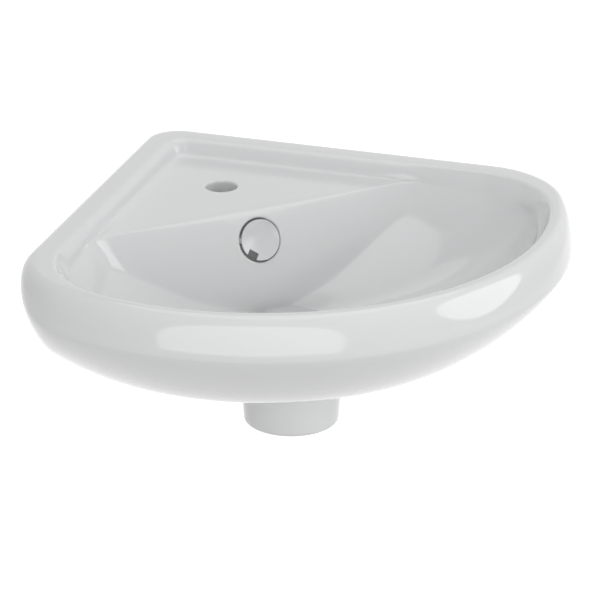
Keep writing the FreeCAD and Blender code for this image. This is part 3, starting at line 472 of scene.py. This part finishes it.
def boss_rows(s, ray, top):
    """Outlet boss, as radius and height round the outlet's axis: a cone down the outside, a quarter
    circle round its end, then up the hollow, through the outlet hole and over the waste's seat."""
    radii, heights = [], []

    def add(radius, height):
        radii.append(np.broadcast_to(radius, ray.shape))
        heights.append(np.broadcast_to(height, ray.shape))

    foot_z = -s.boss_end + BOSS_ROUND
    for share in (0.03, 0.08, 0.2, 0.4, 0.6, 0.8, 0.95, 1.0):
        add(s.boss_top_r + (s.boss_end_r - s.boss_top_r) * share, top + (foot_z - top) * share)
    for turn in np.radians((22.5, 45.0, 67.5, 90.0)):
        add(s.boss_end_r - BOSS_ROUND * (1.0 - math.cos(turn)),
            foot_z - BOSS_ROUND * math.sin(turn))
    end, cup_top, seat = -s.boss_end, -s.boss_cup_top, -s.seat_drop
    for radius, height in (
        # Edge of the hollow, its wall and the fillet under the outlet
        (s.boss_cup_r + 0.0012, end), (s.boss_cup_r + 0.0003, end + 0.0004),
        (s.boss_cup_r, end + 0.0014), (s.boss_cup_r, cup_top - 0.03),
        (s.boss_cup_r, cup_top - 0.002), (s.boss_cup_r - 0.0006, cup_top - 0.0006),
        (s.boss_cup_r - 0.002, cup_top),
        # Outlet hole with its two edges
        (s.outlet_r + 0.001, cup_top), (s.outlet_r, cup_top + 0.001), (s.outlet_r, seat - 0.02),
        (s.outlet_r, seat - 0.001), (s.outlet_r + 0.001, seat),
        # Seat of the waste and the step up to the bowl's floor
        (s.bowl_floor_r - 0.0008, seat), (s.bowl_floor_r - 0.0002, seat + 0.0008),
        (s.bowl_floor_r - 0.0002, -s.bowl_depth - 0.0008),
    ):
        add(radius, height)
    return 1j * s.outlet_y + np.array(radii) * ray, np.array(heights)


def soften(points, first, last, passes):
    """Rounds creases between two rows: each pass moves a point half way to the mean of its four
    neighbours."""
    block = points[first - 1:last + 1]
    for _ in range(passes):
        around = np.roll(block, 1, axis=1)[1:-1] + np.roll(block, -1, axis=1)[1:-1]
        mean = (block[:-2] + block[2:] + around) / 4.0
        block[1:-1] += 0.5 * (mean - block[1:-1])


def ease(points, first, last, passes, strength):
    """Rounds creases that run across the columns: each pass moves a point towards the mean of the
    points before and after it in its column, by half the column's strength."""
    block = points[first - 1:last + 1]
    for _ in range(passes):
        block[1:-1] += 0.5 * strength * ((block[:-2] + block[2:]) / 2.0 - block[1:-1])


def zipper(outer, outer_turn, inner, inner_turn):
    """Triangles between two loops round one centre. The points of both are taken in order of angle,
    and each closes a triangle on the last two points before it."""
    outer, outer_turn = outer[np.argsort(outer_turn)], np.sort(outer_turn)
    inner, inner_turn = inner[np.argsort(inner_turn)], np.sort(inner_turn)
    order = np.argsort(np.concatenate([outer_turn, inner_turn]), kind="stable")
    is_outer = order < outer.size
    outer_now = (np.cumsum(is_outer) - 1) % outer.size
    inner_now = (np.cumsum(~is_outer) - 1) % inner.size
    third = np.where(is_outer, outer[outer_now], inner[inner_now])
    return np.stack([outer[np.roll(outer_now, 1)], third, inner[np.roll(inner_now, 1)]], axis=1)


class HoleCutter:
    """Opens round holes in a grid of quads: drops a block of them and closes the gap with flat
    rings that turn over a rounded lip into the hole."""

    def __init__(self, points):
        self.rows, self.columns = points.shape[:2]
        self.points = [points.reshape(-1, 3)]
        self.count = self.rows * self.columns
        self.keep = np.ones((self.rows, self.columns), bool)
        self.faces = []

    def add(self, points):
        first = self.count
        self.points.append(points)
        self.count += len(points)
        return np.arange(first, self.count)

    def lip(self, centre, across, up, radius, rows, profile):
        """Cuts the quads within a radius of the centre, among some of the rows, and adds a ring
        for each radius and depth of the profile. The hole lies in the plane of across and up."""
        across, up = np.array(across), np.array(up)
        out = np.cross(across, up)
        local = self.points[0] - np.array(centre)
        flat = np.hypot(local @ across, local @ up).reshape(self.rows, self.columns)
        near = np.zeros_like(flat, bool)
        near[rows[0]:rows[1]] = (flat < radius)[rows[0]:rows[1]]
        found_rows, found_columns = np.nonzero(near)
        top, bottom = found_rows.min() - 1, found_rows.max() + 1
        left, right = found_columns.min() - 1, found_columns.max() + 1
        self.keep[top:bottom, left:right] = False
        index = np.arange(self.rows * self.columns).reshape(self.rows, self.columns)
        loop = np.concatenate([
            index[top, left:right], index[top:bottom, right],
            index[bottom, right:left:-1], index[bottom:top:-1, left]])
        loop_turn = np.arctan2(local[loop] @ up, local[loop] @ across)
        turn = np.linspace(-math.pi, math.pi, HOLE_POINTS, endpoint=False)
        circle = np.cos(turn)[:, None] * across + np.sin(turn)[:, None] * up
        rings = [self.add(centre + circle * r - out * d) for r, d in profile]
        self.faces.append(zipper(loop, loop_turn, rings[0], turn))
        for outer, inner in zip(rings, rings[1:]):
            self.bridge(outer, inner)
        return rings[-1]

    def bridge(self, outer, inner):
        self.faces.append(np.stack([outer, np.roll(outer, -1), np.roll(inner, -1), inner], axis=1))

    def close(self, ring):
        self.faces.append(ring[None])

    def all_faces(self):
        row, column = np.nonzero(self.keep)
        after, below = (column + 1) % self.columns, (row + 1) % self.rows
        corners = [(row, column), (row, after), (below, after), (below, column)]
        quads = np.stack([r * self.columns + c for r, c in corners], axis=1)
        return [list(face) for group in [quads] + self.faces for face in group.tolist()]


def basin_surface(s):
    """The whole casting as one closed grid: up the bowl, over the rim, down the outside, in along
    the underside and back up through the outlet."""
    foot = mouth_outline(s, np.zeros(1))[0]
    inner_plan, inner_z = inner_rows(s, foot)
    ray = (foot - 1j * s.outlet_y) / np.abs(foot - 1j * s.outlet_y)
    rim_plan, rim_z = rim_rows(s)
    apron_plan, apron_z = apron_rows(s)
    under_plan, under_z = under_rows(s, apron_plan[-1], ray)
    boss_plan, boss_z = boss_rows(s, ray, under_z[-1])
    plan = np.vstack([inner_plan[::-1], rim_plan, apron_plan, under_plan, boss_plan])
    height = np.vstack([inner_z[::-1], rim_z, apron_z, under_z, boss_z])
    points = np.stack([plan.real, plan.imag, height], axis=2)
    foot_row = len(inner_plan)
    under_row = foot_row + len(rim_plan) + len(apron_plan)
    boss_row = under_row + len(under_plan)
    soften(points, 2, foot_row + 4, BOWL_PASSES)
    past_ledge = np.clip((ledge_edge(s, foot.real) - foot.imag) / FOOT_BLEND, 0.0, 1.0)
    below, above = FOOT_ROWS
    ease(points, foot_row - below, foot_row + above, FOOT_PASSES, past_ledge[:, None])
    soften(points, under_row + 2, boss_row - 1, UNDER_PASSES)
    return points, foot_row, under_row, boss_row


def hole_edge(radius, lip, shoulder):
    """Radius and depth of the rings over a hole's rounded edge, from flat into its wall."""
    return [(radius + lip + 0.0006, 0.0), (radius + lip, 0.0), (radius + shoulder, 0.0002),
            (radius + 0.0002, 0.0007), (radius, lip)]


def build_basin(s):
    """The casting with the tap hole through its ledge and the overflow's recess in its back
    wall. Only the solids have the channel behind that recess."""
    points, foot_row, under_row, boss_row = basin_surface(s)
    cutter = HoleCutter(points)
    cleared = s.tap_hole_r + TAP_LIP + 0.0012
    edge = hole_edge(s.tap_hole_r, TAP_LIP, 0.0008)
    above = np.array([0.0, s.tap_hole_y, -s.ledge_drop])
    under = np.array([0.0, s.tap_hole_y, -s.ledge_under])
    upper = cutter.lip(above, (1, 0, 0), (0, 1, 0), cleared, (0, foot_row), edge)
    lower = cutter.lip(under, (-1, 0, 0), (0, 1, 0), cleared, (under_row, boss_row), edge)
    cutter.bridge(upper, lower[(HOLE_POINTS // 2 - np.arange(HOLE_POINTS)) % HOLE_POINTS])
    slope = np.array([0.0, math.cos(s.back_slope), math.sin(s.back_slope)])
    drop = s.overflow_drop - s.ledge_drop
    hole = np.array([0.0, s.ledge_edge_y - drop / math.tan(s.back_slope), -s.overflow_drop])
    recess = hole_edge(s.overflow_r, OVERFLOW_LIP, 0.0007) + [
        (s.overflow_r, OVERFLOW_RECESS), (s.overflow_r - 0.001, OVERFLOW_RECESS + 0.001)]
    cleared = s.overflow_r + OVERFLOW_LIP + 0.001
    cutter.close(cutter.lip(hole, (1, 0, 0), slope, cleared, (0, foot_row), recess))
    vertices = np.concatenate(cutter.points)
    mesh = bpy.data.meshes.new("basin_glaze")
    mesh.from_pydata(vertices.tolist(), [], cutter.all_faces())
    mesh.validate()
    mesh.shade_smooth()
    mesh.set_sharp_from_angle(angle=SHARP_ANGLE)
    basin = bpy.data.objects.new("basin_glaze", mesh)
    bpy.context.scene.collection.objects.link(basin)
    return basin


# --- Materials -----------------------------------------------------------------------------------
def new_group(name, inputs, outputs):
    """Empty shader group with named sockets."""
    tree = bpy.data.node_groups.new(name, "ShaderNodeTree")
    for socket, kind, value in inputs:
        made = tree.interface.new_socket(name=socket, in_out="INPUT", socket_type=kind)
        if value is not None:
            made.default_value = value
    for socket, kind in outputs:
        tree.interface.new_socket(name=socket, in_out="OUTPUT", socket_type=kind)
    return tree, tree.nodes.new("NodeGroupInput"), tree.nodes.new("NodeGroupOutput")


def surface_variation():
    """Group: slow mottling of a colour and a roughness, and a fine ripple, in object space."""
    name = "Surface variation"
    if name in bpy.data.node_groups:
        return bpy.data.node_groups[name]
    tree, source, result = new_group(
        name,
        [("Colour", "NodeSocketColor", (0.8, 0.8, 0.8, 1.0)), ("Tint", "NodeSocketFloat", 0.02),
         ("Roughness", "NodeSocketFloat", 0.1), ("Roughness spread", "NodeSocketFloat", 0.02),
         ("Scale", "NodeSocketFloat", 20.0), ("Ripple scale", "NodeSocketFloat", 60.0)],
        [("Colour", "NodeSocketColor"), ("Roughness", "NodeSocketFloat"),
         ("Ripple", "NodeSocketFloat")])
    nodes, links = tree.nodes, tree.links
    place = nodes.new("ShaderNodeTexCoord")
    slow, fast = nodes.new("ShaderNodeTexNoise"), nodes.new("ShaderNodeTexNoise")
    slow.inputs["Detail"].default_value, fast.inputs["Detail"].default_value = 3.0, 1.0
    for noise, scale in ((slow, "Scale"), (fast, "Ripple scale")):
        links.new(place.outputs["Object"], noise.inputs["Vector"])
        links.new(source.outputs[scale], noise.inputs["Scale"])
    centred = nodes.new("ShaderNodeMath")
    centred.operation = "SUBTRACT"
    centred.inputs[1].default_value = 0.5
    links.new(slow.outputs["Fac"], centred.inputs[0])
    tint, rough = nodes.new("ShaderNodeMath"), nodes.new("ShaderNodeMath")
    tint.operation = rough.operation = "MULTIPLY_ADD"
    tint.inputs[2].default_value = 1.0
    links.new(centred.outputs[0], tint.inputs[0])
    links.new(source.outputs["Tint"], tint.inputs[1])
    links.new(centred.outputs[0], rough.inputs[0])
    links.new(source.outputs["Roughness spread"], rough.inputs[1])
    links.new(source.outputs["Roughness"], rough.inputs[2])
    scaled = nodes.new("ShaderNodeVectorMath")
    scaled.operation = "SCALE"
    links.new(source.outputs["Colour"], scaled.inputs[0])
    links.new(tint.outputs[0], scaled.inputs["Scale"])
    links.new(scaled.outputs[0], result.inputs["Colour"])
    links.new(rough.outputs[0], result.inputs["Roughness"])
    links.new(fast.outputs["Fac"], result.inputs["Ripple"])
    return tree


def finish_material(name, colour_value, metallic=0.0, coat=0.0):
    """Principled material fed by the surface variation group with the values of its finish."""
    tint, roughness, spread, scale, ripple_scale, ripple = FINISHES[name]
    material = bpy.data.materials.new(name)
    material.use_nodes = True
    nodes, links = material.node_tree.nodes, material.node_tree.links
    shader = nodes["Principled BSDF"]
    group = nodes.new("ShaderNodeGroup")
    group.node_tree = surface_variation()
    group.inputs["Colour"].default_value = (*colour_value, 1.0)
    for socket, value in (("Tint", tint), ("Roughness", roughness), ("Roughness spread", spread),
                          ("Scale", scale), ("Ripple scale", ripple_scale)):
        group.inputs[socket].default_value = value
    bump = nodes.new("ShaderNodeBump")
    bump.inputs["Distance"].default_value = ripple
    links.new(group.outputs["Ripple"], bump.inputs["Height"])
    links.new(group.outputs["Colour"], shader.inputs["Base Color"])
    links.new(group.outputs["Roughness"], shader.inputs["Roughness"])
    links.new(bump.outputs["Normal"], shader.inputs["Normal"])
    shader.inputs["Metallic"].default_value = metallic
    shader.inputs["Coat Weight"].default_value = coat
    shader.inputs["Coat Roughness"].default_value = COAT_ROUGHNESS
    return material


def dress(node, material):
    """Gives a solid of the frame its material."""
    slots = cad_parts[node].data.materials
    slots.clear()
    slots.append(material)


# --- Operators -----------------------------------------------------------------------------------
class BuildBasin(bpy.types.Operator):
    """Builds the glazed body"""

    bl_idname = "corner_basin.build_basin"
    bl_label = "Glazed body"

    def execute(self, context):
        scene = context.scene
        basin = build_basin(scene.basin_sizes)
        glaze = finish_material("white_glaze", scene.basin_colours.glaze, coat=0.3)
        basin.data.materials.append(glaze)
        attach(basin, "basin")
        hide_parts("basin_body")
        return {"FINISHED"}


class DressCover(bpy.types.Operator):
    """Finishes the overflow cover"""

    bl_idname = "corner_basin.dress_cover"
    bl_label = "Overflow cover"

    def execute(self, context):
        tones = context.scene.basin_colours
        dress("overflow_cover", finish_material("cover_plastic", tones.cover))
        return {"FINISHED"}


class DressWaste(bpy.types.Operator):
    """Finishes the waste and its plug"""

    bl_idname = "corner_basin.dress_waste"
    bl_label = "Waste"

    def execute(self, context):
        tones = context.scene.basin_colours
        chrome = finish_material("chrome_plate", tones.chrome, metallic=1.0)
        brass = finish_material("turned_brass", tones.brass, metallic=1.0)
        rubber = finish_material("seal_rubber", tones.rubber)
        nylon = finish_material("natural_nylon", tones.nylon)
        steel = finish_material("spring_steel", tones.zinc, metallic=1.0)
        for node in ("waste_body", "plug_cap"):
            dress(node, chrome)
        for node in ("waste_backnut", "plug_spindle", "cartridge_housing"):
            dress(node, brass)
        for node in ("waste_top_seal", "waste_lower_seal", "plug_seal"):
            dress(node, rubber)
        for node in ("waste_slip_washer", "cartridge_gland", "plug_latch"):
            dress(node, nylon)
        dress("plug_spring", steel)
        return {"FINISHED"}


class DressFixings(bpy.types.Operator):
    """Finishes the wall fixings"""

    bl_idname = "corner_basin.dress_fixings"
    bl_label = "Wall fixings"

    def execute(self, context):
        tones = context.scene.basin_colours
        zinc = finish_material("zinc_plate", tones.zinc, metallic=1.0)
        bush = finish_material("bush_nylon", tones.nylon)
        grey = finish_material("plug_nylon", tones.plug_grey)
        for node in ("fixing_studs", "fixing_washers", "fixing_nuts"):
            dress(node, zinc)
        dress("fixing_bushes", bush)
        dress("fixing_wall_plugs", grey)
        return {"FINISHED"}


def white_to_camera(tree, shader, white):
    """Shows white to camera, glossy and transmission rays, and the given shader to all others."""
    nodes, links = tree.nodes, tree.links
    path = nodes.new("ShaderNodeLightPath")
    seen, either = nodes.new("ShaderNodeMath"), nodes.new("ShaderNodeMath")
    seen.operation = either.operation = "MAXIMUM"
    links.new(path.outputs["Is Camera Ray"], seen.inputs[0])
    links.new(path.outputs["Is Glossy Ray"], either.inputs[0])
    links.new(path.outputs["Is Transmission Ray"], either.inputs[1])
    links.new(either.outputs[0], seen.inputs[1])
    mix = nodes.new("ShaderNodeMixShader")
    links.new(seen.outputs[0], mix.inputs["Fac"])
    links.new(shader.outputs[0], mix.inputs[1])
    links.new(white.outputs[0], mix.inputs[2])
    return mix


class BuildStage(bpy.types.Operator):
    """Builds the floor, the lamps, the world and the camera"""

    bl_idname = "corner_basin.build_stage"
    bl_label = "Studio"

    def execute(self, context):
        stage, tones = context.scene.basin_stage, context.scene.basin_colours
        self.floor(stage, tones)
        self.world()
        for values in LAMPS:
            self.lamp(*values)
        self.camera(stage)
        return {"FINISHED"}

    def floor(self, stage, tones):
        signs = [(-1, -1), (1, -1), (1, 1), (-1, 1)]
        corners = [(x * FLOOR_HALF, y * FLOOR_HALF, stage.floor_z) for x, y in signs]
        mesh = bpy.data.meshes.new("floor")
        mesh.from_pydata(corners, [], [(0, 1, 2, 3)])
        material = bpy.data.materials.new("studio_floor")
        material.use_nodes = True
        tree = material.node_tree
        shader = tree.nodes["Principled BSDF"]
        shader.inputs["Base Color"].default_value = (*tones.floor, 1.0)
        shader.inputs["Roughness"].default_value = 0.7
        glow = tree.nodes.new("ShaderNodeEmission")
        glow.inputs["Strength"].default_value = FLOOR_GLOW
        both = tree.nodes.new("ShaderNodeAddShader")
        tree.links.new(shader.outputs[0], both.inputs[0])
        tree.links.new(glow.outputs[0], both.inputs[1])
        mix = white_to_camera(tree, shader, both)
        tree.links.new(mix.outputs[0], tree.nodes["Material Output"].inputs["Surface"])
        mesh.materials.append(material)
        floor = bpy.data.objects.new("floor", mesh)
        bpy.context.scene.collection.objects.link(floor)

    def world(self):
        world = bpy.data.worlds.new("studio")
        bpy.context.scene.world = world
        world.use_nodes = True
        tree = world.node_tree
        soft, white = tree.nodes["Background"], tree.nodes.new("ShaderNodeBackground")
        for background, strength in ((soft, SKY_STRENGTH), (white, 1.0)):
            background.inputs["Color"].default_value = (1.0, 1.0, 1.0, 1.0)
            background.inputs["Strength"].default_value = strength
        mix = white_to_camera(tree, soft, white)
        tree.links.new(mix.outputs[0], tree.nodes["World Output"].inputs["Surface"])

    def lamp(self, name, place, target, size, power):
        light = bpy.data.lights.new(name, "AREA")
        light.shape, light.size, light.energy = "DISK", size, power
        lamp = bpy.data.objects.new(name, light)
        lamp.location = place
        aim = Vector(target) - Vector(place)
        lamp.rotation_euler = aim.to_track_quat("-Z", "Y").to_euler()
        bpy.context.scene.collection.objects.link(lamp)

    def camera(self, stage):
        turn, lift = stage.azimuth, stage.elevation
        level = math.cos(lift)
        back = np.array([math.sin(turn) * level, -math.cos(turn) * level, math.sin(lift)])
        right = np.array([math.cos(turn), math.sin(turn), 0.0])
        up = np.cross(back, right)
        aim = np.array(AIM) + stage.across * right - stage.down * up
        lens = bpy.data.cameras.new("camera")
        lens.lens, lens.sensor_width, lens.clip_end = stage.lens, SENSOR_WIDTH, CLIP_END
        camera = bpy.data.objects.new("camera", lens)
        camera.location = aim + back * stage.distance
        camera.rotation_euler = Vector(-back).to_track_quat("-Z", "Y").to_euler()
        bpy.context.scene.collection.objects.link(camera)
        bpy.context.scene.camera = camera
        bpy.context.scene.view_settings.view_transform = "Standard"


class BasinPanel(bpy.types.Panel):
    """Lists the pieces of the basin"""

    bl_idname = "VIEW3D_PT_corner_basin"
    bl_label = "Corner Basin"
    bl_space_type = "VIEW_3D"
    bl_region_type = "UI"
    bl_category = "Basin"

    def draw(self, context):
        for operator in OPERATORS:
            self.layout.operator(operator.bl_idname)


OPERATORS = (BuildBasin, DressCover, DressWaste, DressFixings, BuildStage)
GROUPS = (("basin_sizes", BasinSizes), ("basin_colours", BasinColours), ("basin_stage", BasinStage))


def register():
    for kind in [group for _, group in GROUPS] + list(OPERATORS) + [BasinPanel]:
        bpy.utils.register_class(kind)
    for name, group in GROUPS:
        setattr(bpy.types.Scene, name, bpy.props.PointerProperty(type=group))


def unregister():
    for name, _ in GROUPS:
        delattr(bpy.types.Scene, name)
    for kind in [BasinPanel] + list(OPERATORS) + [group for _, group in GROUPS]:
        bpy.utils.unregister_class(kind)


def main():
    register()
    bpy.ops.corner_basin.build_basin()
    bpy.ops.corner_basin.dress_cover()
    bpy.ops.corner_basin.dress_waste()
    bpy.ops.corner_basin.dress_fixings()
    bpy.ops.corner_basin.build_stage()


if __name__ == "__main__":
    main()
